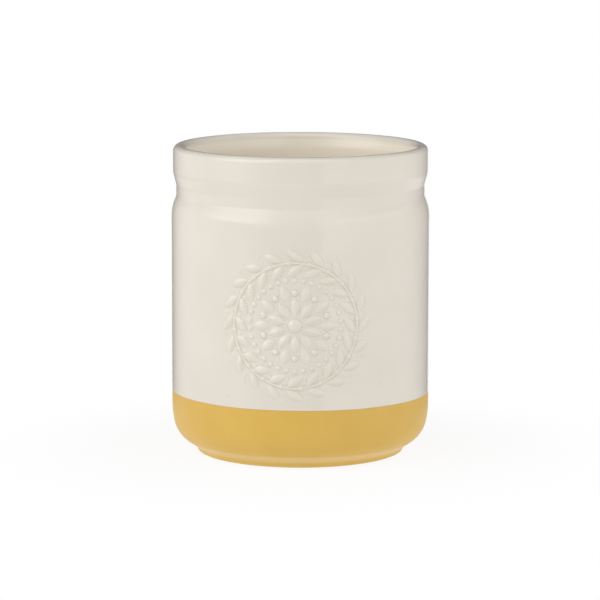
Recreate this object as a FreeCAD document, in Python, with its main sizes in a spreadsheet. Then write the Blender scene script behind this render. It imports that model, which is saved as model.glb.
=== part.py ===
"""Utensil crock: a straight stoneware jar with a grooved neck and a low foot ring.

The clay body is dipped twice: a mustard glaze round the foot and a cream glaze over the wall, the rim and
the inside. A round medallion stands out of the wall. It is made of sprigs, small clay ornaments that are
pressed in moulds and set on the clay wall, and the cream glaze runs over them.

Frame: +Z up, origin at the centre of the standing face, medallion facing -Y. Lengths are in millimetres.
"""
import FreeCAD
import Part
import Sketcher
import math
import operator
import os

SIZES = {
    # Glazed wall, neck and rim, from the top down
    "overall_height": 150.0,
    "wall_radius": 62.9,
    "rim_thickness": 5.9,
    "rim_rounding": 2.8,
    "collar_inset": 0.75,
    "collar_height": 13.0,
    "collar_rounding": 10.0,
    "collar_flank_height": 6.2,
    "groove_depth": 2.3,
    "groove_height": 5.4,
    "groove_top_rounding": 6.0,
    "groove_bottom_rounding": 3.5,
    "shoulder_height": 5.5,
    "shoulder_rounding": 21.0,
    # Glazed lower wall and foot ring, from the ground up
    "foot_inset": 12.9,
    "foot_width": 5.4,
    "foot_flare": 1.55,
    "foot_height": 2.9,
    "foot_edge_rounding": 0.5,
    "foot_fillet": 2.2,
    "heel_rise": 6.0,
    "heel_inset": 1.95,
    "heel_rounding": 14.6,
    "taper_rise": 11.0,
    "taper_rounding": 34.0,
    # Floor and underside
    "recess_depth": 2.8,
    "recess_fillet": 1.2,
    "floor_thickness": 7.4,
    "floor_fillet": 11.0,
    # Glaze coats
    "dip_line_height": 30.0,
    "cream_coat": 0.5,
    "mustard_coat": 0.35,
    "cream_lip_rounding": 0.3,
    "wiped_height": 0.35,
    # Medallion: what it leaves free of the wall between shoulder and dip line, and the cut for its sprigs
    "medallion_top_margin": 12.8,
    "medallion_bottom_margin": 4.3,
    "seat_overrun": 0.1,
}

# Sizes of each kind of sprig, as shares of the medallion's radius
WREATH_LEAF_SHARES = {"length": 0.262, "width": 0.118, "rise": 0.0275}
SPRIG_SHARES = {
    "rosette_boss": {"width": 0.200, "rise": 0.036},
    "rosette_petals": {"length": 0.245, "width": 0.122, "rise": 0.030},
    "rosette_leaves": {"length": 0.225, "width": 0.128, "rise": 0.0275},
    "rosette_buds": {"width": 0.081, "rise": 0.025},
    "pearl_ring": {"width": 0.062, "rise": 0.019},
    "wreath_outer_leaves": WREATH_LEAF_SHARES,
    "wreath_inner_leaves": WREATH_LEAF_SHARES,
    "wreath_berries": {"width": 0.062, "rise": 0.021},
}
# Free wall between the rings and beside the wreath's stem line, as shares of the medallion's radius
RING_GAP_SHARE = 0.022
STEM_GAP_SHARE = 0.018
# How far out along a petal the next leaf starts, and where a berry sits between two pairs of wreath leaves
LEAF_START_SHARE = 0.8
BERRY_STATION_SHARE = 0.3
BETWEEN_PETALS_SHARE = 0.5
# Counts and angles of the medallion
PETAL_COUNT = 10
PEARL_COUNT = 34
WREATH_COUNT = 20
WREATH_SPREAD_DEGREES = 36.0
# How far a mould reaches behind the wall, as a share of its rise, before the sprig is trimmed to the wall
BEAD_BACK_SHARE = 0.3
LEAF_BACK_SHARE = 0.5
# How far up in the coat the glaze over a sprig starts
GLAZE_START_SHARE = 0.5
# The most of the rim's thickness that one of its two roundings takes
RIM_ROUNDING_SHARE = 0.49

FULL_TURN = 360.0
QUARTER_TURN = 90.0


class Size:
    """A number together with the sheet formula that gives it."""

    def __init__(self, value, formula):
        self.value = value
        self.formula = formula

    def combine(self, sign, work, other):
        if not isinstance(other, Size):
            other = Size(other, str(other))
        return Size(work(self.value, other.value), f"({self.formula} {sign} {other.formula})")

    def __add__(self, other):
        return self.combine("+", operator.add, other)

    def __sub__(self, other):
        return self.combine("-", operator.sub, other)

    def __mul__(self, other):
        return self.combine("*", operator.mul, other)

    def __truediv__(self, other):
        return self.combine("/", operator.truediv, other)

    def __neg__(self):
        return Size(-self.value, f"(-{self.formula})")

    def root(self):
        return Size(math.sqrt(self.value), f"sqrt({self.formula})")

    def at_most(self, limit):
        return Size(min(self.value, limit.value), f"min({self.formula}; {limit.formula})")


ZERO = Size(0.0, "0")


class Corner:
    """A corner of an outline, at a radius and a height, with its rounding or none."""

    def __init__(self, radius, height, rounding=None):
        self.radius = radius
        self.height = height
        self.rounding = rounding
        self.point = FreeCAD.Vector(radius.value, height.value, 0)


# Document and sheet
doc = FreeCAD.newDocument("utensil_crock")
sheet = doc.addObject("Spreadsheet::Sheet", "Sizes")
for row, (alias, number) in enumerate(SIZES.items(), start=1):
    sheet.set(f"A{row}", alias)
    sheet.set(f"B{row}", str(number))
    sheet.setAlias(f"B{row}", alias)
doc.recompute()
size = {alias: Size(float(sheet.get(alias)), f"Sizes.{alias}") for alias in SIZES}


# Radii and heights that several pieces share
clay_radius = size["wall_radius"] - size["cream_coat"]
collar_radius = size["wall_radius"] - size["collar_inset"]
groove_radius = size["wall_radius"] - size["groove_depth"]
inside_radius = collar_radius - size["rim_thickness"]
middle_radius = (size["wall_radius"] + inside_radius) / 2
foot_radius = size["wall_radius"] - size["foot_inset"]
foot_inside_radius = foot_radius - size["foot_width"]
foot_middle_radius = (foot_radius + foot_inside_radius) / 2
heel_height = size["foot_height"] + size["heel_rise"]
taper_height = heel_height + size["taper_rise"]
floor_height = size["recess_depth"] + size["floor_thickness"]
floor_middle_height = (size["recess_depth"] + floor_height) / 2
collar_foot_height = size["overall_height"] - size["collar_height"]
groove_top_height = collar_foot_height - size["collar_flank_height"]
groove_bottom_height = groove_top_height - size["groove_height"]
shoulder_foot_height = groove_bottom_height - size["shoulder_height"]
rim_rounding = size["rim_rounding"].at_most(size["rim_thickness"] * RIM_ROUNDING_SHARE)
medallion_top = shoulder_foot_height - size["medallion_top_margin"]
medallion_bottom = size["dip_line_height"] + size["medallion_bottom_margin"]
medallion_radius = (medallion_top - medallion_bottom) / 2
medallion_height = (medallion_top + medallion_bottom) / 2


# Outlines, counter-clockwise in the plane of radius and height
def within_clay():
    """A path through the middle of the clay, from the foot ring up to the dip line."""
    return [
        Corner(foot_middle_radius, floor_middle_height),
        Corner(inside_radius, heel_height),
        Corner(middle_radius, taper_height),
        Corner(middle_radius, size["dip_line_height"]),
    ]


def foot_corners(skin):
    """Corners from the top of the foot ring up to the tapering wall, a skin under the mustard glaze."""
    outer_radius = clay_radius + size["mustard_coat"]
    return [
        Corner(foot_radius + size["foot_flare"] - skin, size["foot_height"] + skin, size["foot_fillet"]),
        Corner(outer_radius - size["heel_inset"] - skin, heel_height + skin, size["heel_rounding"]),
        Corner(outer_radius - skin, taper_height, size["taper_rounding"]),
    ]


def neck_corners(skin):
    """Corners of shoulder, groove, collar, rim, inside wall and floor, a skin under the cream glaze."""
    top_height = size["overall_height"] - skin
    return [
        Corner(size["wall_radius"] - skin, shoulder_foot_height, size["shoulder_rounding"]),
        Corner(groove_radius - skin, groove_bottom_height, size["groove_bottom_rounding"]),
        Corner(groove_radius - skin, groove_top_height, size["groove_top_rounding"]),
        Corner(collar_radius - skin, collar_foot_height, size["collar_rounding"]),
        Corner(collar_radius - skin, top_height, rim_rounding - skin),
        Corner(inside_radius + skin, top_height, rim_rounding - skin),
        Corner(inside_radius + skin, floor_height - skin, size["floor_fillet"] + skin),
        Corner(ZERO, floor_height - skin),
    ]


def clay_outline():
    """The bare clay: underside, foot ring, outer wall, rim and inside."""
    coat = size["mustard_coat"]
    underside = [
        Corner(ZERO, size["recess_depth"] + coat),
        Corner(foot_inside_radius, size["recess_depth"] + coat, size["recess_fillet"] + coat),
        Corner(foot_inside_radius, ZERO, size["foot_edge_rounding"]),
        Corner(foot_radius - coat, ZERO, size["foot_edge_rounding"]),
    ]
    return underside + foot_corners(coat) + neck_corners(size["cream_coat"])


def cream_outline():
    """The upper wall, the rim, the inside and the floor in cream glaze, from its lip at the dip line."""
    lip = Corner(size["wall_radius"], size["dip_line_height"], size["cream_lip_rounding"])
    return [Corner(ZERO, floor_middle_height)] + within_clay() + [lip] + neck_corners(ZERO)


def mustard_band_outline():
    """The lower wall and the foot's side in mustard glaze, down to the wiped edge of the foot."""
    flare_at_edge = size["foot_flare"] * size["wiped_height"] / size["foot_height"]
    edge = [
        Corner(foot_middle_radius, size["wiped_height"]),
        Corner(foot_radius + flare_at_edge, size["wiped_height"]),
    ]
    top = Corner(clay_radius + size["mustard_coat"], size["dip_line_height"])
    return edge + foot_corners(ZERO) + [top] + within_clay()[::-1]


def mustard_underside_outline():
    """The recess inside the foot ring in mustard glaze, down to the wiped edge of the foot."""
    glazed_radius = foot_inside_radius - size["mustard_coat"]
    return [
        Corner(ZERO, size["recess_depth"]),
        Corner(glazed_radius, size["recess_depth"], size["recess_fillet"]),
        Corner(glazed_radius, size["wiped_height"]),
        Corner(foot_middle_radius, size["wiped_height"]),
        Corner(foot_middle_radius, floor_middle_height),
        Corner(ZERO, floor_middle_height),
    ]


# Sketches and turned bodies
def rounded_ends(before, corner, after):
    """Where a corner's rounding leaves the line before it and meets the line after it, and its centre."""
    inward = (before.point - corner.point).normalize()
    outward = (after.point - corner.point).normalize()
    half_angle = inward.getAngle(outward) / 2
    reach = corner.rounding.value / math.tan(half_angle)
    bisector = (inward + outward).normalize()
    centre = corner.point + bisector * (corner.rounding.value / math.sin(half_angle))
    return corner.point + inward * reach, corner.point + outward * reach, centre


def rounding_arc(start, end, centre, radius, turns_left):
    """The arc of a rounded corner, which always runs counter-clockwise about its centre."""
    first, last = (start, end) if turns_left else (end, start)
    circle = Part.Circle(centre, FreeCAD.Vector(0, 0, 1), radius)
    return Part.ArcOfCircle(circle, circle.parameter(first), circle.parameter(last))


def draw_outline(sketch, corners):
    """Draw a closed outline through the corners and tie each corner and rounding to the sheet."""
    count = len(corners)
    rules = []
    formulas = []

    def tie(kind, *where, amount):
        formulas.append((len(rules), amount.formula))
        rules.append(Sketcher.Constraint(kind, *where, amount.value))

    def place(geometry, corner):
        for kind, axis, amount in (("DistanceX", -2, corner.radius), ("DistanceY", -1, corner.height)):
            if amount is ZERO:
                rules.append(Sketcher.Constraint("PointOnObject", geometry, 1, axis))
            else:
                tie(kind, -1, 1, geometry, 1, amount=amount)

    ends = []
    for index, corner in enumerate(corners):
        if corner.rounding is None:
            ends.append((corner.point, corner.point, None))
        else:
            ends.append(rounded_ends(corners[index - 1], corner, corners[(index + 1) % count]))
    # Line number i leaves corner i, so line number i - 1 arrives there
    for index in range(count):
        sketch.addGeometry(Part.LineSegment(ends[index][1], ends[(index + 1) % count][0]), False)
    for index, corner in enumerate(corners):
        arriving = (index - 1) % count
        start, end, centre = ends[index]
        if centre is None:
            rules.append(Sketcher.Constraint("Coincident", arriving, 2, index, 1))
            place(index, corner)
            continue
        turns_left = (end - start).cross(centre - start).z > 0
        arc = sketch.addGeometry(rounding_arc(start, end, centre, corner.rounding.value, turns_left), False)
        mark = sketch.addGeometry(Part.Point(corner.point), True)
        arc_start, arc_end = (1, 2) if turns_left else (2, 1)
        rules.append(Sketcher.Constraint("Tangent", arriving, 2, arc, arc_start))
        rules.append(Sketcher.Constraint("Tangent", arc, arc_end, index, 1))
        rules.append(Sketcher.Constraint("PointOnObject", mark, 1, arriving))
        rules.append(Sketcher.Constraint("PointOnObject", mark, 1, index))
        tie("Radius", arc, amount=corner.rounding)
        place(mark, corner)
    sketch.addConstraint(rules)
    for index, formula in formulas:
        sketch.setExpression(f"Constraints[{index}]", formula)


def turned_body(name, corners):
    """A body turned about the Z axis from an outline in the XZ plane."""
    body = doc.addObject("PartDesign::Body", name)
    sketch = body.newObject("Sketcher::SketchObject", f"{name}_outline")
    plane = next(item for item in body.Origin.OriginFeatures if item.Role == "XZ_Plane")
    sketch.AttachmentSupport = [(plane, "")]
    sketch.MapMode = "FlatFace"
    draw_outline(sketch, corners)
    doc.recompute()
    turn = body.newObject("PartDesign::Revolution", f"{name}_turn")
    turn.Profile = sketch
    turn.ReferenceAxis = (sketch, ["V_Axis"])
    turn.Angle = FULL_TURN
    return body


def cut(name, base, tool):
    """What is left of one object outside another."""
    result = doc.addObject("Part::Cut", name)
    result.Base = base
    result.Tool = tool
    return result


# Sprig moulds: the wall is the plane z = 0 of the mould, the motif lies along x and rises along +z
def ball(name, radius, side, depth):
    """A sphere sunk below the wall, its poles along the motif so that no seam shows above the wall."""
    sphere = doc.addObject("Part::Sphere", name)
    sphere.Placement.Rotation = FreeCAD.Rotation(FreeCAD.Vector(0, 1, 0), QUARTER_TURN)
    sphere.setExpression("Radius", radius.formula)
    sphere.setExpression("Placement.Base.y", side.formula)
    sphere.setExpression("Placement.Base.z", (-depth).formula)
    return sphere


def common(name, base, tool):
    """What two objects share."""
    result = doc.addObject("Part::Common", name)
    result.Base = base
    result.Tool = tool
    return result


def slab(name, half_span, back, front):
    """A square slab from the mould's back to its front, which limits the spheres to the motif."""
    box = doc.addObject("Part::Box", name)
    for side, amount in (("Length", half_span * 2), ("Width", half_span * 2), ("Height", back + front)):
        box.setExpression(side, amount.formula)
    for axis, amount in (("x", -half_span), ("y", -half_span), ("z", -back)):
        box.setExpression(f"Placement.Base.{axis}", amount.formula)
    return box


def bead_mould(name, width, rise, coat):
    """A domed bead: the cap of one sphere, with a coat of glaze over it."""
    half_width = width / 2
    depth = (half_width * half_width - rise * rise) / (rise * 2)
    sphere = ball(f"{name}_sphere", depth + rise + coat, ZERO, depth)
    return common(name, sphere, slab(f"{name}_slab", width, rise * BEAD_BACK_SHARE, rise * 2))


def leaf_mould(name, length, width, rise, coat):
    """A pointed leaf with a ridge: what two spheres side by side share, with a coat of glaze over it."""
    half_length = length / 2
    half_width = width / 2
    side = (half_length * half_length - half_width * half_width) / width
    depth = (half_length * half_length - rise * rise) / (rise * 2)
    across = half_width + side
    radius = (across * across + depth * depth).root() + coat
    left = ball(f"{name}_left", radius, side, depth)
    right = ball(f"{name}_right", radius, -side, depth)
    lens = common(f"{name}_lens", left, right)
    return common(name, lens, slab(f"{name}_slab", length, rise * LEAF_BACK_SHARE, rise * 2))


def on_wall(ring, station, heading):
    """Placement on the clay wall: a ring's radius, an angle round the medallion and the motif's heading."""
    across = ring * math.cos(math.radians(station))
    up = ring * math.sin(math.radians(station))
    turn = across / clay_radius.value
    foot = FreeCAD.Vector(math.sin(turn), -math.cos(turn), 0) * clay_radius.value
    foot.z = medallion_height.value + up
    about_z = FreeCAD.Rotation(FreeCAD.Vector(0, 0, 1), math.degrees(turn))
    upright = FreeCAD.Rotation(FreeCAD.Vector(1, 0, 0), QUARTER_TURN)
    in_plane = FreeCAD.Rotation(FreeCAD.Vector(0, 0, 1), heading)
    return FreeCAD.Placement(foot, about_z * upright * in_plane)


def stations(count, lead_share=0.0):
    """Evenly spaced angles round the medallion, from the top, moved on by a share of one step."""
    step = FULL_TURN / count
    return [QUARTER_TURN + (number + lead_share) * step for number in range(count)]


def wall_cylinder(name, radius):
    """A full cylinder round the crock's axis, which trims what is set on it."""
    cylinder = doc.addObject("Part::Cylinder", name)
    cylinder.setExpression("Radius", radius.formula)
    cylinder.setExpression("Height", size["overall_height"].formula)
    return cylinder


def set_on(cylinder, mould, places):
    """Copies of a mould's shape at the places, trimmed to the cylinder that they are set on."""
    copies = []
    for place in places:
        copy = mould.Shape.copy()
        copy.Placement = place.multiply(copy.Placement)
        copies.append(copy.cut(cylinder.Shape))
    return copies


def extent(node, side):
    """Length, width or rise of a kind of sprig."""
    return medallion_radius.value * SPRIG_SHARES[node][side]


# Rings of the medallion, from its centre outwards
ring_gap = medallion_radius.value * RING_GAP_SHARE
petal_start = extent("rosette_boss", "width") / 2 + ring_gap
petal_ring = petal_start + extent("rosette_petals", "length") / 2
leaf_start = petal_start + LEAF_START_SHARE * extent("rosette_petals", "length")
leaf_ring = leaf_start + extent("rosette_leaves", "length") / 2
pearl_ring = leaf_start + extent("rosette_leaves", "length") + ring_gap + extent("pearl_ring", "width") / 2
half_reach = extent("wreath_outer_leaves", "length") / 2 * math.sin(math.radians(WREATH_SPREAD_DEGREES))
wreath_offset = half_reach + medallion_radius.value * STEM_GAP_SHARE
wreath_reach = wreath_offset + half_reach
wreath_ring = pearl_ring + extent("pearl_ring", "width") / 2 + ring_gap + wreath_reach


def sprig_places():
    """Node name of each kind of sprig with the placements of its copies."""
    outward = [(angle, angle) for angle in stations(PETAL_COUNT)]
    between = [(angle, angle) for angle in stations(PETAL_COUNT, BETWEEN_PETALS_SHARE)]
    wreath = stations(WREATH_COUNT)
    outer_heading = QUARTER_TURN - WREATH_SPREAD_DEGREES
    inner_heading = QUARTER_TURN + WREATH_SPREAD_DEGREES
    return {
        "rosette_boss": [on_wall(0.0, 0.0, 0.0)],
        "rosette_petals": [on_wall(petal_ring, *way) for way in outward],
        "rosette_leaves": [on_wall(leaf_ring, *way) for way in between],
        "rosette_buds": [on_wall(leaf_ring, *way) for way in outward],
        "pearl_ring": [on_wall(pearl_ring, angle, angle) for angle in stations(PEARL_COUNT)],
        "wreath_outer_leaves": [on_wall(wreath_ring + wreath_offset, a, a + outer_heading) for a in wreath],
        "wreath_inner_leaves": [on_wall(wreath_ring - wreath_offset, a, a + inner_heading) for a in wreath],
        "wreath_berries": [on_wall(wreath_ring, a, a) for a in stations(WREATH_COUNT, BERRY_STATION_SHARE)],
    }


def sprig_moulds(suffix, coat):
    """Node name of each kind of sprig with its mould, bare or with a coat of glaze."""
    moulds = {}
    for node, shares in SPRIG_SHARES.items():
        shape = leaf_mould if "length" in shares else bead_mould
        extents = [medallion_radius * share for share in shares.values()]
        moulds[node] = shape(f"{node}_{suffix}", *extents, coat)
    return moulds


def shaped(name, shape):
    """An object that holds a shape made in code."""
    feature = doc.addObject("Part::Feature", name)
    feature.Shape = shape
    return feature


# The clay body and the coats that lie on it
stoneware = turned_body("stoneware_body", clay_outline())
cream_form = turned_body("cream_form", cream_outline())
band_form = turned_body("mustard_band_form", mustard_band_outline())
underside_form = turned_body("mustard_underside_form", mustard_underside_outline())
cream_shell = cut("cream_shell", cream_form, stoneware)
band = cut("mustard_glaze_band", band_form, stoneware)
underside = cut("mustard_glaze_underside", underside_form, stoneware)

# The sprigs, set on the clay wall
places = sprig_places()
clay_moulds = sprig_moulds("clay_mould", ZERO)
glaze_moulds = sprig_moulds("glaze_mould", size["cream_coat"])
clay_wall = wall_cylinder("clay_wall", clay_radius)
pocket_wall = wall_cylinder("pocket_wall", clay_radius - size["seat_overrun"])
glaze_wall = wall_cylinder("glaze_wall", clay_radius + size["cream_coat"] * GLAZE_START_SHARE)
doc.recompute()
sprigs = []
pockets = []
swellings = []
for node, node_places in places.items():
    sprigs.append(shaped(node, Part.makeCompound(set_on(clay_wall, clay_moulds[node], node_places))))
    pockets += set_on(pocket_wall, clay_moulds[node], node_places)
    swellings += set_on(glaze_wall, glaze_moulds[node], node_places)

# The cream glaze over wall and sprigs, hollow where the sprigs sit
relief = doc.addObject("Part::MultiFuse", "cream_relief")
relief.Shapes = [cream_shell, shaped("swellings", Part.makeCompound(swellings))]
cream = cut("cream_glaze", relief, shaped("pockets", Part.makeCompound(pockets)))
doc.recompute()

# Checks, then one file for each sub-part
for item in doc.Objects:
    if "Invalid" in item.State or "Error" in item.State:
        raise RuntimeError(f"{item.Label} failed: {item.State}")
subparts = [stoneware, cream, band, underside] + sprigs
for subpart in subparts:
    if subpart.Shape.isNull() or not subpart.Shape.isValid():
        raise RuntimeError(f"{subpart.Label} has no valid shape")
os.makedirs("parts", exist_ok=True)
for subpart in subparts:
    subpart.Shape.exportStep(f"parts/{subpart.Label}.step")
    print(subpart.Label, len(subpart.Shape.Solids), "solids", round(subpart.Shape.Volume), "mm3")
print("medallion radius", round(wreath_ring + wreath_reach, 2))
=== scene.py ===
import math

import bpy
import numpy as np
from mathutils import Matrix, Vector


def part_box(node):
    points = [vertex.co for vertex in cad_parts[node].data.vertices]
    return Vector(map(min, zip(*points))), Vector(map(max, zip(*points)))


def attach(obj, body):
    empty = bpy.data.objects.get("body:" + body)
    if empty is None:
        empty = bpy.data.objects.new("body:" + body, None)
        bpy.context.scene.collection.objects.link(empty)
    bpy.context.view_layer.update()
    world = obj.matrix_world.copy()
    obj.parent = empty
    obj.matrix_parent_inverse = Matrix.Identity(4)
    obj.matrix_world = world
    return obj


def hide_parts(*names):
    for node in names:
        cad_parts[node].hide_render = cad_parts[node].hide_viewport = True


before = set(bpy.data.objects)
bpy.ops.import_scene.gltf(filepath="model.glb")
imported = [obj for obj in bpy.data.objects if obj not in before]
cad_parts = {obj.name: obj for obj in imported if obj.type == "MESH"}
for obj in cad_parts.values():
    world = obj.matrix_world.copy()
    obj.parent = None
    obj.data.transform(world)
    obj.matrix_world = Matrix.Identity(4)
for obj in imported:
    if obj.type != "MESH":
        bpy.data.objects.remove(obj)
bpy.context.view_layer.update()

# Looks of the utensil crock: two coats of glaze as meshes, the finishes, the studio and the camera.
# Lengths are in millimetres, and MM turns them into metres.
MM = 0.001

# Sizes read from the frame
WALL_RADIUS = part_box("cream_glaze")[1].x / MM
OVERALL_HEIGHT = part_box("cream_glaze")[1].z / MM
DIP_LINE_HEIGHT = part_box("mustard_glaze_band")[1].z / MM
WIPED_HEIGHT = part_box("mustard_glaze_band")[0].z / MM

# Glazed wall, neck and rim, from the top down
RIM_THICKNESS = 5.9
RIM_ROUNDING = 2.8
COLLAR_INSET = 0.75
COLLAR_HEIGHT = 13.0
COLLAR_ROUNDING = 10.0
COLLAR_FLANK_HEIGHT = 6.2
GROOVE_DEPTH = 2.3
GROOVE_HEIGHT = 5.4
GROOVE_TOP_ROUNDING = 6.0
GROOVE_BOTTOM_ROUNDING = 3.5
SHOULDER_HEIGHT = 5.5
SHOULDER_ROUNDING = 21.0
# The inner wall draws in behind the groove, by the groove's depth, and opens towards the rim
RIDGE_ROUNDING = 12.0
RIDGE_FOOT_ROUNDING = 21.0
MOUTH_HEIGHT = 7.0
MOUTH_INSET = 1.35
MOUTH_ROUNDING = 24.0
# Lower wall, foot ring and floor
FOOT_INSET = 12.9
FOOT_FLARE = 1.55
FOOT_HEIGHT = 2.9
FOOT_FILLET = 2.2
HEEL_RISE = 6.0
HEEL_INSET = 1.95
HEEL_ROUNDING = 14.6
TAPER_RISE = 11.0
TAPER_ROUNDING = 34.0
FLOOR_HEIGHT = 10.2
FLOOR_FILLET = 11.0
# Coats of glaze
CREAM_COAT = 0.5
MUSTARD_COAT = 0.35
LIP_ROUNDING = 0.3
COAT_EDGE_ROUNDING = 0.08
# The dip line is a little slanted and uneven within this zone. A wave has its count, its rise and its lead
DIP_ZONE = 1.0
DIP_SLANT_DEGREES = 0.34
DIP_WAVES = ((3, 0.06, 1.0), (7, 0.04, 2.0))
# Fineness of the meshes
COLUMNS = 144
ARC_STEP_DEGREES = 6.0
LINE_STEP = 6.0
TINY = 1e-6

# Radii and heights that follow from these
CLAY_RADIUS = WALL_RADIUS - CREAM_COAT
COLLAR_RADIUS = WALL_RADIUS - COLLAR_INSET
GROOVE_RADIUS = WALL_RADIUS - GROOVE_DEPTH
INSIDE_RADIUS = COLLAR_RADIUS - RIM_THICKNESS
FOOT_RADIUS = WALL_RADIUS - FOOT_INSET
MUSTARD_RADIUS = CLAY_RADIUS + MUSTARD_COAT
HEEL_HEIGHT = FOOT_HEIGHT + HEEL_RISE
TAPER_HEIGHT = HEEL_HEIGHT + TAPER_RISE
COLLAR_FOOT_HEIGHT = OVERALL_HEIGHT - COLLAR_HEIGHT
GROOVE_TOP_HEIGHT = COLLAR_FOOT_HEIGHT - COLLAR_FLANK_HEIGHT
GROOVE_BOTTOM_HEIGHT = GROOVE_TOP_HEIGHT - GROOVE_HEIGHT
SHOULDER_FOOT_HEIGHT = GROOVE_BOTTOM_HEIGHT - SHOULDER_HEIGHT

# Medallion: its place on the wall, and each motif's length, width and rise as shares of its radius. The round
# motifs have no length
MEDALLION_HEIGHT = 70.7
MEDALLION_RADIUS = 36.4
MOTIF_SHARES = {
    "boss": (0.0, 0.200, 0.036),
    "petal": (0.245, 0.122, 0.030),
    "leaf": (0.225, 0.128, 0.0275),
    "bud": (0.0, 0.081, 0.025),
    "pearl": (0.0, 0.062, 0.019),
    "wreath_leaf": (0.262, 0.118, 0.0275),
    "berry": (0.0, 0.062, 0.021),
}
RING_GAP_SHARE = 0.022
STEM_GAP_SHARE = 0.018
LEAF_START_SHARE = 0.8
BERRY_STATION_SHARE = 0.3
PETAL_COUNT = 10
PEARL_COUNT = 34
WREATH_COUNT = 20
WREATH_SPREAD_DEGREES = 36.0
# Finer patch of the wall round the medallion, in cells of the coarse mesh
WINDOW_CELLS = 28
GLAZE_DIVISIONS = 8
CLAY_DIVISIONS = 3
CELL = 2 * math.pi * CLAY_RADIUS / COLUMNS
# Lines cut into the motifs, how steeply they fade at the tips, and the stem that the wreath grows from
LINE_WIDTH = 0.36
TIP_FADE = 3.0
RIB_DEPTH = 0.2
VEIN_DEPTH = 0.11
VEIN_PITCH = 1.5
VEIN_SLANT = 1.0
VEIN_SHARPNESS = 4
FLUTE_DEPTH = 0.16
FLUTE_SHARE = 0.17
SEED_COUNT = 24
SEED_DEPTH = 0.22
SEED_RADIUS = 0.55
SEED_SPREAD_SHARE = 0.85
GOLDEN_ANGLE = math.radians(137.508)
DIMPLE_DEPTH = 0.2
DIMPLE_SHARE = 0.16
STEM_WIDTH = 1.1
STEM_RISE = 0.38
# Fine grains strewn between the motifs: distance from the stem, count, lead, width
GRAIN_RINGS = (
    (2.0, 20, 0.72, 1.5),
    (4.3, 20, 0.5, 1.2),
    (6.4, 20, 0.62, 1.0),
    (-2.4, 20, 0.55, 1.3),
    (-4.6, 20, 0.8, 1.1),
)
GRAIN_RISE = 0.4
# How far the melted glaze evens out the relief, on its face and in the share that pools
FLOW_SPREAD = 0.28
POOL_SPREAD = 0.75
POOL_SHARE = 0.25
BELL_REACH = 3

# Colours of the finishes, as 8-bit display levels
CREAM_LEVELS = (220, 213, 202)
CREAM_CLOUD_LEVELS = (217, 210, 198)
# Painted light: the inside is a lighter, warmer cream than the outside, standing in for more light inside the
# crock; in part a guessed difference of finish
CREAM_INSIDE_LIGHT_LEVELS = (236, 227, 210)
# Darker, warmer tint where the glaze pools: in part real pooling, in part painted shade in the relief's
# hollows
CREAM_POOL_SHADE_LEVELS = (188, 172, 145)
CREAM_THIN_LEVELS = (234, 230, 221)
MUSTARD_LEVELS = (213, 173, 83)
MUSTARD_CLOUD_LEVELS = (209, 169, 78)
MUSTARD_GRAIN_LEVELS = (213, 178, 97)
# Painted highlight: a paler band on the foot's fillet, standing in for the table's reflection
MUSTARD_SHEEN_LEVELS = (219, 184, 112)
CLAY_LEVELS = (214, 201, 178)
CLAY_CLOUD_LEVELS = (204, 189, 163)
SPECK_LEVELS = (150, 124, 92)
TABLE_LEVELS = (244, 244, 244)
WHITE = (1.0, 1.0, 1.0, 1.0)
# Depths below the rim's top at which the inside's painted lighter colour starts and is full
INSIDE_LIGHT_FADE = (1.2, 4.0)
# Extra depth of the cream, in coats, at which the darker tint of a pool, in part painted shade, starts and is
# full, and the strongest tints
POOL_SHADE_START = 0.04
POOL_SHADE_FULL = 0.25
POOL_SHADE_TINT = 0.8
THIN_TINT = 0.5
# Painted highlight on the mustard over the foot's fillet, in place of the table's reflection: lowest and
# highest place, each with the width of its soft edge
FOOT_SHEEN_ZONE = (2.6, 1.8, 6.0, 2.0)
# Noise patterns: size of the features, detail and roughness, and the range that most of their values lie in
CREAM_CLOUDS = (24.0, 3.0, 0.5)
CREAM_GLOSS = (9.0, 2.0, 0.5)
MUSTARD_CLOUDS = (14.0, 4.0, 0.5)
MUSTARD_GLOSS = (6.0, 2.0, 0.5)
MUSTARD_GRAIN = (0.9, 3.0, 0.65)
CLAY_CLOUDS = (8.0, 4.0, 0.5)
NOISE_RANGE = (0.3, 0.7)
MUSTARD_GRAIN_RANGE = (0.55, 0.75)
MUSTARD_GRAIN_TINT = 0.35
# Bumps: a noise pattern and its depth
CREAM_BUMPS = (((16.0, 2.0, 0.5), 0.1), ((1.8, 2.0, 0.5), 0.006))
MUSTARD_BUMPS = (((10.0, 2.0, 0.5), 0.08), ((0.9, 3.0, 0.5), 0.02))
CLAY_BUMPS = (((0.5, 3.0, 0.7), 0.05),)
# Specks: pitch of their cells, reach of a speck, and share of the cells that have one
CREAM_SPECKS = (6.0, 0.22, 0.16)
MUSTARD_SPECKS = (5.0, 0.2, 0.2)
CLAY_SPECKS = (1.6, 0.18, 0.2)
SPECK_CORE_SHARE = 0.4
SPECK_STEP = 0.01
# Gloss: roughness of the surfaces, with its limits where it varies
CREAM_ROUGHNESS = (0.03, 0.055)
MUSTARD_ROUGHNESS = (0.4, 0.48)
MUSTARD_SPECULAR = 0.35
CLAY_ROUGHNESS = 0.85
TABLE_ROUGHNESS = 0.9
GLAZE_IOR = 1.5
# Sockets of a mix node for its two colours and their result
MIX_FIRST = 6
MIX_SECOND = 7
MIX_RESULT = 2

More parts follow.
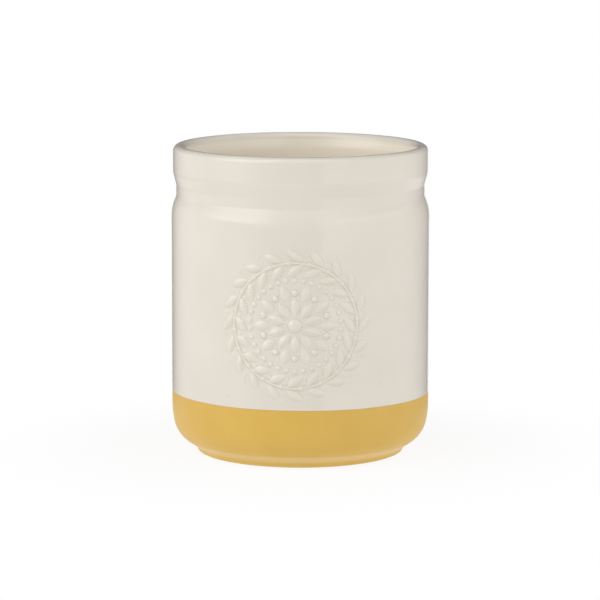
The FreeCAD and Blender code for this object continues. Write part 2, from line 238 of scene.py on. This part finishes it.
# Light tent round the crock: a plain radiance, and lobes that add to it. A lobe has its first and last
# azimuth and its lowest and highest elevation, each with the width of its soft edge, and its radiance.
# Angles are in degrees, and azimuth counts from the medallion's side, positive to the right
TENT_RADIANCE = 0.12
LOBES = {
    "table": ((-200.0, 2.0, 200.0, 2.0), (-95.0, 10.0, -14.0, 10.0), 0.95),
    "front half": ((-115.0, 50.0, 115.0, 50.0), (-14.0, 10.0, 95.0, 2.0), 0.24),
    "left strip": ((-138.0, 40.0, -42.0, 40.0), (-11.5, 6.0, 22.0, 30.0), 0.75),
    "right strip": ((22.0, 2.0, 128.0, 60.0), (-14.0, 6.0, 19.0, 10.0), 0.86),
    "key box": ((-84.0, 32.0, -28.0, 32.0), (9.0, 5.0, 58.0, 14.0), 1.85),
    "fill box": ((26.0, 24.0, 134.0, 24.0), (13.0, 10.0, 46.0, 16.0), 0.66),
    "top box": ((-60.0, 60.0, 60.0, 60.0), (48.0, 14.0, 74.0, 12.0), 1.6),
}
# White backdrop behind the crock and below the horizon: where its side edges and its top edge start and end
BACKDROP_EDGE_DEGREES = (164.0, 168.0)
BACKDROP_TOP_DEGREES = (2.0, -1.0)
# Table: radius, drop under the foot, and the shares of white that it shows at the wall and gives as light
TABLE_RADIUS = 180.0
TABLE_DROP = 0.1
TABLE_GLOW_SHARE = 0.9
TABLE_LIGHT_SHARE = 0.95

# Camera, fitted to the photograph's outline, with angles in degrees
CAMERA_DISTANCE = 1626.9
CAMERA_HEIGHT = 321.8
CAMERA_AZIMUTH = 2.35
CAMERA_TILT = 81.325
CAMERA_ROLL = 0.088
LENS_MM = 201.94
SENSOR_MM = 36.0
LENS_SHIFT = -0.0007
CAMERA_REACH = 10000.0


# Paths: corners of radius, height and any rounding become rows of radius, height and normal
def left_of(way):
    """The direction to the left of a way."""
    return np.array((-way[1], way[0]))


def corner_rows(spot, before, after, rounding):
    """The rows of one corner: its arc, or the corner itself with the mean normal."""
    if not rounding:
        normal = left_of(before) + left_of(after)
        return [(*spot, *(normal / np.linalg.norm(normal)))]
    turn = math.atan2(before[0] * after[1] - before[1] * after[0], before @ after)
    side = math.copysign(rounding, turn)
    start = spot - before * rounding * math.tan(abs(turn) / 2)
    centre = start + left_of(before) * side
    steps = max(2, math.ceil(abs(turn) / math.radians(ARC_STEP_DEGREES)))
    rows = []
    for angle in turn * np.arange(steps + 1) / steps:
        spun = before * math.cos(angle) + left_of(before) * math.sin(angle)
        rows.append((*(centre - left_of(spun) * side), *left_of(spun)))
    return rows


def path_rows(corners, closed=False):
    """Rows along a path through the corners, with the free side of the coat on the left of the way."""
    count = len(corners)
    spots = [np.array(corner[:2]) for corner in corners]
    ways = [spots[(index + 1) % count] - spots[index] for index in range(count)]
    ways = [way / np.linalg.norm(way) for way in ways]
    if not closed:
        ways[-1] = ways[-2]
    rows = []
    for index, (_, _, *rounding) in enumerate(corners):
        before = ways[index] if index == 0 and not closed else ways[index - 1]
        arc = corner_rows(spots[index], before, ways[index], sum(rounding))
        if index:
            rows += line_rows(rows[-1], arc[0])
        rows += arc
    if closed:
        rows += line_rows(rows[-1], rows[0])
    return np.array(rows)


def line_rows(first, last):
    """Rows between two others, where the line between them is long."""
    gap = np.subtract(last[:2], first[:2])
    length = np.linalg.norm(gap)
    pieces = math.ceil(length / LINE_STEP)
    normal = left_of(gap / max(length, TINY))
    return [(*(first[:2] + gap * number / pieces), *normal) for number in range(1, pieces)]


# Turned meshes
class Mesh:
    """Vertices with normals and glaze depth, and the faces between them."""

    def __init__(self):
        self.spots = []
        self.normals = []
        self.pools = []
        self.faces = []

    def vertex(self, spot, normal, pool=0.0):
        """Add a vertex. Returns its number."""
        self.spots.append(spot)
        self.normals.append(normal)
        self.pools.append(pool)
        return len(self.spots) - 1


def dip_shift(angle):
    """How much higher the dip line is at an angle round the crock than on the plain outline."""
    shift = -math.tan(math.radians(DIP_SLANT_DEGREES)) * WALL_RADIUS * math.sin(angle)
    return shift + sum(rise * math.sin(count * angle + lead) for count, rise, lead in DIP_WAVES)


def on_ring(radius, height, angle):
    """The point at an angle round the crock, with the medallion's side at zero."""
    if abs(height - DIP_LINE_HEIGHT) < DIP_ZONE:
        height += dip_shift(angle)
    return radius * math.sin(angle), -radius * math.cos(angle), height


def column_angle(column):
    """Angle of a column of the coarse mesh round the crock."""
    return 2 * math.pi * column / COLUMNS


def add_window(mesh, nodes, window):
    """Fill a window of the coarse mesh with a finer patch. Returns the patch's points along its outline."""
    first_row, divisions, heights, pools, side = window
    first_column = -WINDOW_CELLS // 2
    count = WINDOW_CELLS * divisions
    ends = (0, count)
    step = CELL / divisions
    # The patch runs down from its first row on the outer side of a coat and up on its inner side
    up, across = np.gradient(heights, step)
    # Points on the patch's outline that the coarse mesh has too are shared with it
    patch = {}
    for row in range(count + 1):
        for column in range(count + 1):
            if row in ends and column % divisions == 0 or column in ends and row % divisions == 0:
                coarse = first_row + row // divisions, (first_column + column // divisions) % COLUMNS
                patch[row, column] = nodes[coarse]
                continue
            angle = column_angle(first_column + column / divisions)
            radius = CLAY_RADIUS + heights[row, column]
            height = MEDALLION_HEIGHT + side * (count / 2 - row) * step
            slope = -across[row, column] * CLAY_RADIUS / radius
            normal = np.array((1.0, slope, side * up[row, column])) * side
            out, along, rise = normal / np.linalg.norm(normal)
            turned = (
                out * math.sin(angle) + along * math.cos(angle),
                along * math.sin(angle) - out * math.cos(angle),
                rise,
            )
            patch[row, column] = mesh.vertex(on_ring(radius, height, angle), turned, pools[row, column])
    for row in range(count):
        for column in range(count):
            loop = ((row, column), (row + 1, column), (row + 1, column + 1), (row, column + 1))
            mesh.faces.append(tuple(patch[corner] for corner in loop))
    chains = {}
    for cell in range(WINDOW_CELLS):
        places = range(cell * divisions, (cell + 1) * divisions + 1)
        for end in ends:
            for chain in ([patch[end, place] for place in places], [patch[place, end] for place in places]):
                chains[chain[0], chain[-1]] = chain[:-1]
                chains[chain[-1], chain[0]] = chain[:0:-1]
    return chains


def turned_mesh(rows, closed=False, windows=()):
    """A mesh turned about the Z axis from path rows, with finer patches in its windows."""
    mesh = Mesh()
    half = WINDOW_CELLS // 2
    cells = [(row, column) for row in range(WINDOW_CELLS) for column in range(-half, half)]
    covered = {(window[0] + row, column % COLUMNS) for window in windows for row, column in cells}
    inner = {(row, column) for row, column in covered
             if (row - 1, column) in covered and (row, (column - 1) % COLUMNS) in covered}
    nodes = {}
    for row, (radius, height, out, up) in enumerate(rows):
        for column in range(COLUMNS):
            angle = column_angle(column)
            if radius < TINY and column:
                nodes[row, column] = nodes[row, 0]
            elif (row, column) not in inner:
                normal = (out * math.sin(angle), -out * math.cos(angle), up)
                nodes[row, column] = mesh.vertex(on_ring(radius, height, angle), normal)
    chains = {}
    for window in windows:
        chains.update(add_window(mesh, nodes, window))
    for row in range(len(rows) if closed else len(rows) - 1):
        below = (row + 1) % len(rows)
        for column in range(COLUMNS):
            if (row, column) in covered:
                continue
            right = (column + 1) % COLUMNS
            loop = [nodes[row, column], nodes[below, column], nodes[below, right], nodes[row, right]]
            mesh.faces += cell_faces(loop, chains)
    return mesh


def cell_faces(loop, chains):
    """The face of a coarse cell, or beside a window the fan of triangles that meets the finer patch."""
    sides = list(zip(loop, loop[1:] + loop[:1]))
    for place, side in enumerate(sides):
        if side in chains:
            far, last = loop[place - 2], loop[place - 1]
            fan = [*chains[side], side[1]]
            return [(far, last, fan[0])] + [(far, *pair) for pair in zip(fan, fan[1:])]
    return [[start for start, end in sides if start != end]]


def add_piece(name, mesh, finish, node):
    """A piece from a turned mesh, which stands for a CAD node and rides on the crock's only body."""
    data = bpy.data.meshes.new(name)
    data.from_pydata((np.array(mesh.spots) * MM).tolist(), [], mesh.faces)
    pool = data.attributes.new("pool", "FLOAT", "POINT")
    pool.data.foreach_set("value", np.array(mesh.pools, np.float32))
    data.shade_smooth()
    data.normals_split_custom_set_from_vertices(mesh.normals)
    data.materials.append(finish)
    piece = bpy.data.objects.new(name, data)
    bpy.context.scene.collection.objects.link(piece)
    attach(piece, "root")
    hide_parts(node)


# Relief of the medallion on the unrolled wall, across to the right and up from its centre
def motif_places():
    """Each motif's kind, size, place and heading from the centre outwards, and the wreath's radius."""
    size = {kind: [share * MEDALLION_RADIUS for share in shares] for kind, shares in MOTIF_SHARES.items()}
    gap = RING_GAP_SHARE * MEDALLION_RADIUS
    petal_start = size["boss"][1] / 2 + gap
    petal_ring = petal_start + size["petal"][0] / 2
    leaf_start = petal_start + LEAF_START_SHARE * size["petal"][0]
    leaf_ring = leaf_start + size["leaf"][0] / 2
    pearl_ring = leaf_start + size["leaf"][0] + gap + size["pearl"][1] / 2
    half_reach = size["wreath_leaf"][0] / 2 * math.sin(math.radians(WREATH_SPREAD_DEGREES))
    offset = half_reach + STEM_GAP_SHARE * MEDALLION_RADIUS
    wreath_ring = pearl_ring + size["pearl"][1] / 2 + gap + offset + half_reach
    spread = 90.0 - WREATH_SPREAD_DEGREES
    rings = [
        ("boss", 0.0, 1, 0.0, 0.0),
        ("petal", petal_ring, PETAL_COUNT, 0.0, 0.0),
        ("bud", leaf_ring, PETAL_COUNT, 0.0, 0.0),
        ("leaf", leaf_ring, PETAL_COUNT, 0.5, 0.0),
        ("pearl", pearl_ring, PEARL_COUNT, 0.0, 0.0),
        ("wreath_leaf", wreath_ring + offset, WREATH_COUNT, 0.0, spread),
        ("wreath_leaf", wreath_ring - offset, WREATH_COUNT, 0.0, 180.0 - spread),
        ("berry", wreath_ring, WREATH_COUNT, BERRY_STATION_SHARE, 0.0),
    ]
    places = []
    for kind, ring, count, lead, heading in rings:
        for number in range(count):
            station = math.radians(90.0 + (number + lead) * 360.0 / count)
            spot = ring * math.cos(station), ring * math.sin(station)
            places.append((kind, size[kind], spot, station + math.radians(heading)))
    return places, wreath_ring


def motif_height(x, y, size):
    """Rise of a motif over the wall: a sphere's cap, or what two spheres side by side share."""
    length, width, rise = size
    half = width / 2
    side = (length * length / 4 - half * half) / width if length else 0.0
    reach = length / 2 if length else half
    depth = (reach * reach - rise * rise) / (2 * rise)
    radius = math.hypot(half + side, depth)
    return np.sqrt(np.maximum(radius ** 2 - x ** 2 - (np.abs(y) + side) ** 2, 0.0)) - depth


def carving(kind, x, y, size):
    """Depth of the lines that are cut into a motif: ribs, veins, flutes, seeds and dimples."""
    length, width, _ = size
    if kind == "boss":
        numbers = np.arange(SEED_COUNT)
        reach = SEED_SPREAD_SHARE * width / 2 * np.sqrt(numbers / SEED_COUNT)
        rights = reach * np.cos(numbers * GOLDEN_ANGLE)
        ups = reach * np.sin(numbers * GOLDEN_ANGLE)
        seeds = [np.hypot(x - right, y - up) for right, up in zip(rights, ups)]
        return SEED_DEPTH * np.clip(np.min(seeds, 0) / SEED_RADIUS, 0.0, 1.0) ** 2
    if kind == "pearl":
        return np.zeros_like(x)
    if not length:
        return DIMPLE_DEPTH * np.exp(-(x ** 2 + y ** 2) / (DIMPLE_SHARE * width) ** 2)
    fade = np.clip((1.0 - np.abs(x) / (length / 2)) * TIP_FADE, 0.0, 1.0)
    if kind == "petal":
        flutes = np.abs(np.abs(y) - FLUTE_SHARE * width)
        return FLUTE_DEPTH * fade * np.exp(-(flutes / LINE_WIDTH) ** 2)
    rib = np.exp(-(y / LINE_WIDTH) ** 2)
    sweep = (x - np.abs(y) * VEIN_SLANT) / VEIN_PITCH
    veins = (0.5 + 0.5 * np.cos(2 * math.pi * sweep)) ** VEIN_SHARPNESS
    return fade * np.maximum(RIB_DEPTH * rib, VEIN_DEPTH * veins)


def domed(away):
    """Height of a half round: one in its middle, and zero from one away on."""
    return np.sqrt(np.maximum(1.0 - away ** 2, 0.0))


def relief(divisions, carved):
    """Rise of the clay over the wall on the grid of a window: rows down, columns to the right."""
    places, wreath_ring = motif_places()
    reach = WINDOW_CELLS * CELL / 2
    line = np.linspace(-reach, reach, WINDOW_CELLS * divisions + 1)
    across, up = np.meshgrid(line, line[::-1])
    field = np.zeros_like(across)
    for kind, size, spot, heading in places:
        right, rise = across - spot[0], up - spot[1]
        x = right * math.cos(heading) + rise * math.sin(heading)
        y = rise * math.cos(heading) - right * math.sin(heading)
        height = motif_height(x, y, size)
        if carved:
            height = np.where(height > 0.0, height - carving(kind, x, y, size), height)
        field = np.maximum(field, height)
    if carved:
        away = (np.hypot(across, up) - wreath_ring) / (STEM_WIDTH / 2)
        field = np.maximum(field, STEM_RISE * domed(away))
        for beyond, count, lead, width in GRAIN_RINGS:
            ring = wreath_ring + beyond
            for station in math.pi / 2 + (np.arange(count) + lead) * 2 * math.pi / count:
                right, rise = across - ring * math.cos(station), up - ring * math.sin(station)
                away = np.hypot(right, rise) / (width / 2)
                field = np.maximum(field, GRAIN_RISE * domed(away))
    return field


def softened(field, spread, step):
    """A field blurred along both axes by a bell curve of that spread."""
    reach = math.ceil(BELL_REACH * spread / step)
    bell = np.exp(-0.5 * (np.arange(-reach, reach + 1) * step / spread) ** 2)
    bell /= bell.sum()
    for _ in range(2):
        field = np.apply_along_axis(np.convolve, 0, field, bell, "same").T
    return field


def glazed_relief():
    """Height of the glaze over the clay wall in the window, and how much deeper than usual it lies there."""
    step = CELL / GLAZE_DIVISIONS
    clay = relief(GLAZE_DIVISIONS, True)
    flowed = softened(clay, FLOW_SPREAD, step)
    pooled = softened(clay, POOL_SPREAD, step)
    height = CREAM_COAT + flowed * (1.0 - POOL_SHARE) + pooled * POOL_SHARE
    return height, np.clip((height - clay) / CREAM_COAT - 1.0, -1.0, 1.0)


# Finishes
def add_node(tree, kind, inputs=(), **settings):
    """A shader node with its settings, its inputs set to values or joined to other outputs."""
    made = tree.nodes.new(kind)
    for name, value in settings.items():
        setattr(made, name, value)
    for name, value in dict(inputs).items():
        if isinstance(value, bpy.types.NodeSocket):
            tree.links.new(value, made.inputs[name])
        else:
            made.inputs[name].default_value = value
    return made


def linear(levels):
    """A shader colour from 8-bit display levels, by the sRGB curve."""
    shares = [level / 255.0 for level in levels]
    light = [share / 12.92 if share < 0.04045 else ((share + 0.055) / 1.055) ** 2.4 for share in shares]
    return (*light, 1.0)


def noise(tree, where, size, detail, roughness):
    """Noise whose features are about as large as the given size."""
    inputs = {"Vector": where, "Scale": 1.0 / (size * MM), "Detail": detail, "Roughness": roughness}
    return add_node(tree, "ShaderNodeTexNoise", inputs).outputs[0]


def ranged(tree, value, low, high, start=0.0, end=1.0):
    """A value moved from one range to another and held inside it."""
    inputs = {"Value": value, "From Min": low, "From Max": high, "To Min": start, "To Max": end}
    return add_node(tree, "ShaderNodeMapRange", inputs).outputs[0]


def worked(tree, operation, first, second=0.0):
    """The result of a calculation with one or two values."""
    return add_node(tree, "ShaderNodeMath", {0: first, 1: second}, operation=operation).outputs[0]


def eased(tree, value, start, end):
    """A soft step from zero at the start to one at the end."""
    made = add_node(tree, "ShaderNodeMapRange", {"Value": value, "From Min": start, "From Max": end})
    made.interpolation_type = "SMOOTHSTEP"
    return made.outputs[0]


def span(tree, value, first, first_edge, last, last_edge):
    """One between two limits, zero outside them, with a soft edge at each."""
    after = eased(tree, value, first - first_edge / 2, first + first_edge / 2)
    before = eased(tree, value, last + last_edge / 2, last - last_edge / 2)
    return worked(tree, "MULTIPLY", after, before)


def mixed(tree, share, first, second):
    """The first colour with a share of the second."""
    inputs = {0: share, MIX_FIRST: first, MIX_SECOND: second}
    return add_node(tree, "ShaderNodeMix", inputs, data_type="RGBA").outputs[MIX_RESULT]


def new_finish(name):
    """An empty finish: its node tree, its surface shader and the place on the piece."""
    finish = bpy.data.materials.new(name)
    finish.use_nodes = True
    tree = finish.node_tree
    surface = tree.nodes["Principled BSDF"]
    where = add_node(tree, "ShaderNodeTexCoord").outputs["Object"]
    return finish, tree, surface, where


def bumped(tree, surface, where, bumps):
    """Fine unevenness of a surface, from pairs of a noise pattern and its depth."""
    normal = None
    for pattern, depth in bumps:
        inputs = {"Height": noise(tree, where, *pattern), "Distance": depth * MM, "Strength": 1.0}
        if normal:
            inputs["Normal"] = normal
        normal = add_node(tree, "ShaderNodeBump", inputs).outputs[0]
    tree.links.new(normal, surface.inputs["Normal"])


def glossed(tree, surface, where, pattern, limits):
    """Roughness of a surface that varies between limits."""
    roughness = ranged(tree, noise(tree, where, *pattern), *NOISE_RANGE, *limits)
    tree.links.new(roughness, surface.inputs["Roughness"])


def clouded(tree, where, pattern, levels, cloud_levels):
    """A colour with soft clouds of another."""
    cloud = ranged(tree, noise(tree, where, *pattern), *NOISE_RANGE)
    return mixed(tree, cloud, linear(levels), linear(cloud_levels))


def specked(tree, where, color, pitch, reach, share):
    """A colour with rare small specks, in a share of the cells of a pitch."""
    cells = add_node(tree, "ShaderNodeTexVoronoi", {"Vector": where, "Scale": 1.0 / (pitch * MM)})
    chosen = ranged(tree, cells.outputs["Color"], 1.0 - share, 1.0 - share + SPECK_STEP)
    near = ranged(tree, cells.outputs["Distance"], reach / pitch, SPECK_CORE_SHARE * reach / pitch)
    return mixed(tree, worked(tree, "MULTIPLY", chosen, near), color, linear(SPECK_LEVELS))


def inside_light_share(tree, where):
    """One on the crock's inside below the rim, where the cream is painted lighter, and zero on its outside.
    """
    x, y, height = add_node(tree, "ShaderNodeSeparateXYZ", {0: where}).outputs
    squares = worked(tree, "ADD", worked(tree, "MULTIPLY", x, x), worked(tree, "MULTIPLY", y, y))
    radius = worked(tree, "SQRT", squares)
    within = eased(tree, radius, (INSIDE_RADIUS + RIM_THICKNESS / 2) * MM, INSIDE_RADIUS * MM)
    below = eased(tree, height, *((OVERALL_HEIGHT - depth) * MM for depth in INSIDE_LIGHT_FADE))
    return worked(tree, "MULTIPLY", within, below)


def cream_finish():
    """Glossy cream glaze: warmer and darker where it pools, in part painted shade in the relief's hollows;
    lighter where it thins; and painted lighter inside the crock in place of more light there.
    """
    finish, tree, surface, where = new_finish("cream glaze")
    color = clouded(tree, where, CREAM_CLOUDS, CREAM_LEVELS, CREAM_CLOUD_LEVELS)
    # Painted light: a lighter cream inside the crock
    color = mixed(tree, inside_light_share(tree, where), color, linear(CREAM_INSIDE_LIGHT_LEVELS))
    pool = add_node(tree, "ShaderNodeAttribute", attribute_name="pool").outputs["Fac"]
    # Darker tint where the glaze pools, in part painted shade in the relief's hollows
    pool_shade = ranged(tree, pool, POOL_SHADE_START, POOL_SHADE_FULL, 0.0, POOL_SHADE_TINT)
    color = mixed(tree, pool_shade, color, linear(CREAM_POOL_SHADE_LEVELS))
    pale_share = ranged(tree, pool, 0.0, -1.0, 0.0, THIN_TINT)
    color = mixed(tree, pale_share, color, linear(CREAM_THIN_LEVELS))
    color = specked(tree, where, color, *CREAM_SPECKS)
    tree.links.new(color, surface.inputs["Base Color"])
    glossed(tree, surface, where, CREAM_GLOSS, CREAM_ROUGHNESS)
    surface.inputs["IOR"].default_value = GLAZE_IOR
    bumped(tree, surface, where, CREAM_BUMPS)
    return finish


def mustard_finish():
    """Satin mustard glaze with soft clouds and a fine grain, and a painted highlight: a paler band over the
    foot's fillet.
    """
    finish, tree, surface, where = new_finish("mustard glaze")
    color = clouded(tree, where, MUSTARD_CLOUDS, MUSTARD_LEVELS, MUSTARD_CLOUD_LEVELS)
    height = add_node(tree, "ShaderNodeSeparateXYZ", {0: where}).outputs["Z"]
    # Painted highlight: a paler band on the foot's fillet
    pale_share = span(tree, height, *(level * MM for level in FOOT_SHEEN_ZONE))
    color = mixed(tree, pale_share, color, linear(MUSTARD_SHEEN_LEVELS))
    pattern = noise(tree, where, *MUSTARD_GRAIN)
    grain = ranged(tree, pattern, *MUSTARD_GRAIN_RANGE, 0.0, MUSTARD_GRAIN_TINT)
    color = mixed(tree, grain, color, linear(MUSTARD_GRAIN_LEVELS))
    color = specked(tree, where, color, *MUSTARD_SPECKS)
    tree.links.new(color, surface.inputs["Base Color"])
    glossed(tree, surface, where, MUSTARD_GLOSS, MUSTARD_ROUGHNESS)
    surface.inputs["IOR"].default_value = GLAZE_IOR
    surface.inputs["Specular IOR Level"].default_value = MUSTARD_SPECULAR
    bumped(tree, surface, where, MUSTARD_BUMPS)
    return finish


def clay_finish():
    """Bare fired stoneware: matt buff with sand and a few dark grains."""
    finish, tree, surface, where = new_finish("fired clay")
    color = clouded(tree, where, CLAY_CLOUDS, CLAY_LEVELS, CLAY_CLOUD_LEVELS)
    color = specked(tree, where, color, *CLAY_SPECKS)
    tree.links.new(color, surface.inputs["Base Color"])
    surface.inputs["Roughness"].default_value = CLAY_ROUGHNESS
    bumped(tree, surface, where, CLAY_BUMPS)
    return finish


# Coats of glaze
def neck_corners(skin, ridge=()):
    """Corners from mid floor past any ridge and out over the rim, a skin under the cream coat's face."""
    top = OVERALL_HEIGHT - skin
    return [
        (0.0, FLOOR_HEIGHT - skin),
        (INSIDE_RADIUS + skin, FLOOR_HEIGHT - skin, FLOOR_FILLET + skin),
        *ridge,
        (INSIDE_RADIUS + skin, top, RIM_ROUNDING - skin),
        (COLLAR_RADIUS - skin, top, RIM_ROUNDING - skin),
        (COLLAR_RADIUS - skin, COLLAR_FOOT_HEIGHT, COLLAR_ROUNDING),
        (GROOVE_RADIUS - skin, GROOVE_TOP_HEIGHT, GROOVE_TOP_ROUNDING),
        (GROOVE_RADIUS - skin, GROOVE_BOTTOM_HEIGHT, GROOVE_BOTTOM_ROUNDING),
        (WALL_RADIUS - skin, SHOULDER_FOOT_HEIGHT, SHOULDER_ROUNDING),
    ]


def foot_corners(skin):
    """Corners from the dip line down to the foot's wiped edge, a skin under the mustard coat's face."""
    return [
        (MUSTARD_RADIUS - skin, DIP_LINE_HEIGHT, COAT_EDGE_ROUNDING),
        (MUSTARD_RADIUS - skin, TAPER_HEIGHT, TAPER_ROUNDING),
        (MUSTARD_RADIUS - HEEL_INSET - skin, HEEL_HEIGHT + skin, HEEL_ROUNDING),
        (FOOT_RADIUS + FOOT_FLARE - skin, FOOT_HEIGHT + skin, FOOT_FILLET),
        (FOOT_RADIUS + FOOT_FLARE * WIPED_HEIGHT / FOOT_HEIGHT - skin, WIPED_HEIGHT, COAT_EDGE_ROUNDING),
    ]


def cream_mesh():
    """The cream coat with the medallion's relief on its face and the sprigs' pockets on its back."""
    heights = MEDALLION_HEIGHT + CELL * (WINDOW_CELLS / 2 - np.arange(WINDOW_CELLS + 1))
    lip = [(WALL_RADIUS, DIP_LINE_HEIGHT, LIP_ROUNDING), (CLAY_RADIUS, DIP_LINE_HEIGHT, COAT_EDGE_ROUNDING)]
    ridge = [
        (INSIDE_RADIUS, SHOULDER_FOOT_HEIGHT, RIDGE_FOOT_ROUNDING),
        (INSIDE_RADIUS - GROOVE_DEPTH, (GROOVE_TOP_HEIGHT + GROOVE_BOTTOM_HEIGHT) / 2, RIDGE_ROUNDING),
        (INSIDE_RADIUS - MOUTH_INSET, OVERALL_HEIGHT - MOUTH_HEIGHT, MOUTH_ROUNDING),
    ]
    face = neck_corners(0.0, ridge) + [(WALL_RADIUS, height) for height in heights]
    back = [(CLAY_RADIUS, height) for height in heights[::-1]] + neck_corners(CREAM_COAT)[::-1]
    rows = path_rows(face + lip + back)
    at_top = np.abs(rows[:, 1] - heights[0]) < TINY
    at_bottom = np.abs(rows[:, 1] - heights[-1]) < TINY
    first_outside = np.flatnonzero(at_top & (np.abs(rows[:, 0] - WALL_RADIUS) < TINY))[0]
    first_inside = np.flatnonzero(at_bottom & (np.abs(rows[:, 0] - CLAY_RADIUS) < TINY))[0]
    pockets = relief(CLAY_DIVISIONS, False)[::-1]
    windows = [
        (first_outside, GLAZE_DIVISIONS, *glazed_relief(), 1),
        (first_inside, CLAY_DIVISIONS, pockets, np.zeros_like(pockets), -1),
    ]
    return turned_mesh(rows, windows=windows)


def mustard_mesh():
    """The mustard coat from the dip line down to the wiped edge of the foot."""
    corners = foot_corners(0.0) + foot_corners(MUSTARD_COAT)[::-1]
    return turned_mesh(path_rows(corners, closed=True), closed=True)


# Studio
def seen_directly(tree):
    """One for rays from the camera, a mirror or a glass, and zero for rays that carry light."""
    rays = add_node(tree, "ShaderNodeLightPath").outputs
    pair = worked(tree, "MAXIMUM", rays["Is Camera Ray"], rays["Is Glossy Ray"])
    return worked(tree, "MAXIMUM", pair, rays["Is Transmission Ray"])


def ray_angles(tree):
    """Azimuth and elevation of a ray's direction, in degrees."""
    way = add_node(tree, "ShaderNodeTexCoord").outputs["Generated"]
    x, y, z = add_node(tree, "ShaderNodeSeparateXYZ", {0: way}).outputs
    azimuth = worked(tree, "DEGREES", worked(tree, "ARCTAN2", x, worked(tree, "MULTIPLY", y, -1.0)))
    return azimuth, worked(tree, "DEGREES", worked(tree, "ARCSINE", z))


def tent_light(tree, azimuth, elevation):
    """Radiance of the whole tent in a direction."""
    light = TENT_RADIANCE
    for across, upward, radiance in LOBES.values():
        share = worked(tree, "MULTIPLY", span(tree, azimuth, *across), span(tree, elevation, *upward))
        light = worked(tree, "ADD", light, worked(tree, "MULTIPLY", share, radiance))
    return light


def add_world():
    """The light tent. The camera sees white round the crock, and mirrors and glass see it behind."""
    world = bpy.data.worlds.new("light tent")
    world.use_nodes = True
    bpy.context.scene.world = world
    tree = world.node_tree
    azimuth, elevation = ray_angles(tree)
    behind = eased(tree, worked(tree, "ABSOLUTE", azimuth), *BACKDROP_EDGE_DEGREES)
    low = eased(tree, elevation, *BACKDROP_TOP_DEGREES)
    backdrop = worked(tree, "MULTIPLY", seen_directly(tree), worked(tree, "MULTIPLY", behind, low))
    camera_ray = add_node(tree, "ShaderNodeLightPath").outputs["Is Camera Ray"]
    in_view = worked(tree, "MAXIMUM", camera_ray, backdrop)
    color = mixed(tree, in_view, tent_light(tree, azimuth, elevation), WHITE)
    tree.links.new(color, tree.nodes["Background"].inputs["Color"])


def add_floor():
    """A round white table top that keeps the crock's shadow, a hair under the foot."""
    angles = [column_angle(column) for column in range(COLUMNS)]
    reach = TABLE_RADIUS * MM
    corners = [(reach * math.cos(angle), reach * math.sin(angle), -TABLE_DROP * MM) for angle in angles]
    data = bpy.data.meshes.new("floor")
    data.from_pydata(corners, [], [tuple(range(COLUMNS))])
    data.materials.append(floor_finish())
    floor = bpy.data.objects.new("floor", data)
    bpy.context.scene.collection.objects.link(floor)


def floor_finish():
    """White paper on a light table: it looks white, and a little less so where the crock shades it."""
    finish, tree, surface, where = new_finish("light table")
    surface.inputs["Base Color"].default_value = linear(TABLE_LEVELS)
    surface.inputs["Roughness"].default_value = TABLE_ROUGHNESS
    glow = add_node(tree, "ShaderNodeEmission", {"Color": WHITE}).outputs[0]
    distance = add_node(tree, "ShaderNodeVectorMath", {0: where}, operation="LENGTH").outputs["Value"]
    outward = eased(tree, distance, WALL_RADIUS * MM, TABLE_RADIUS * MM)
    seen = ranged(tree, outward, 0.0, 1.0, TABLE_GLOW_SHARE, 1.0)
    share = ranged(tree, seen_directly(tree), 0.0, 1.0, TABLE_LIGHT_SHARE, seen)
    both = add_node(tree, "ShaderNodeMixShader", {0: share, 1: surface.outputs[0], 2: glow}).outputs[0]
    tree.links.new(both, tree.nodes["Material Output"].inputs["Surface"])
    return finish


def add_camera():
    """The photograph's view: a long lens from a little above the rim."""
    lens = bpy.data.cameras.new("camera")
    lens.lens = LENS_MM
    lens.sensor_width = SENSOR_MM
    lens.shift_x = LENS_SHIFT
    lens.clip_end = CAMERA_REACH * MM
    camera = bpy.data.objects.new("camera", lens)
    turn = Matrix.Rotation(math.radians(CAMERA_AZIMUTH), 4, "Z")
    place = Matrix.Translation((0.0, -CAMERA_DISTANCE * MM, CAMERA_HEIGHT * MM))
    tilt = Matrix.Rotation(math.radians(CAMERA_TILT), 4, "X")
    roll = Matrix.Rotation(math.radians(CAMERA_ROLL), 4, "Z")
    camera.matrix_world = turn @ place @ tilt @ roll
    bpy.context.scene.collection.objects.link(camera)
    bpy.context.scene.camera = camera


# The crock
CREAM = cream_finish()
MUSTARD = mustard_finish()
CLAY = clay_finish()
for node_name, node_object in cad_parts.items():
    node_object.data.materials.clear()
    node_object.data.materials.append(MUSTARD if node_name == "mustard_glaze_underside" else CLAY)
add_piece("cream_coat", cream_mesh(), CREAM, "cream_glaze")
add_piece("mustard_coat", mustard_mesh(), MUSTARD, "mustard_glaze_band")

# The studio
add_world()
add_floor()
add_camera()
bpy.context.scene.view_settings.view_transform = "Standard"
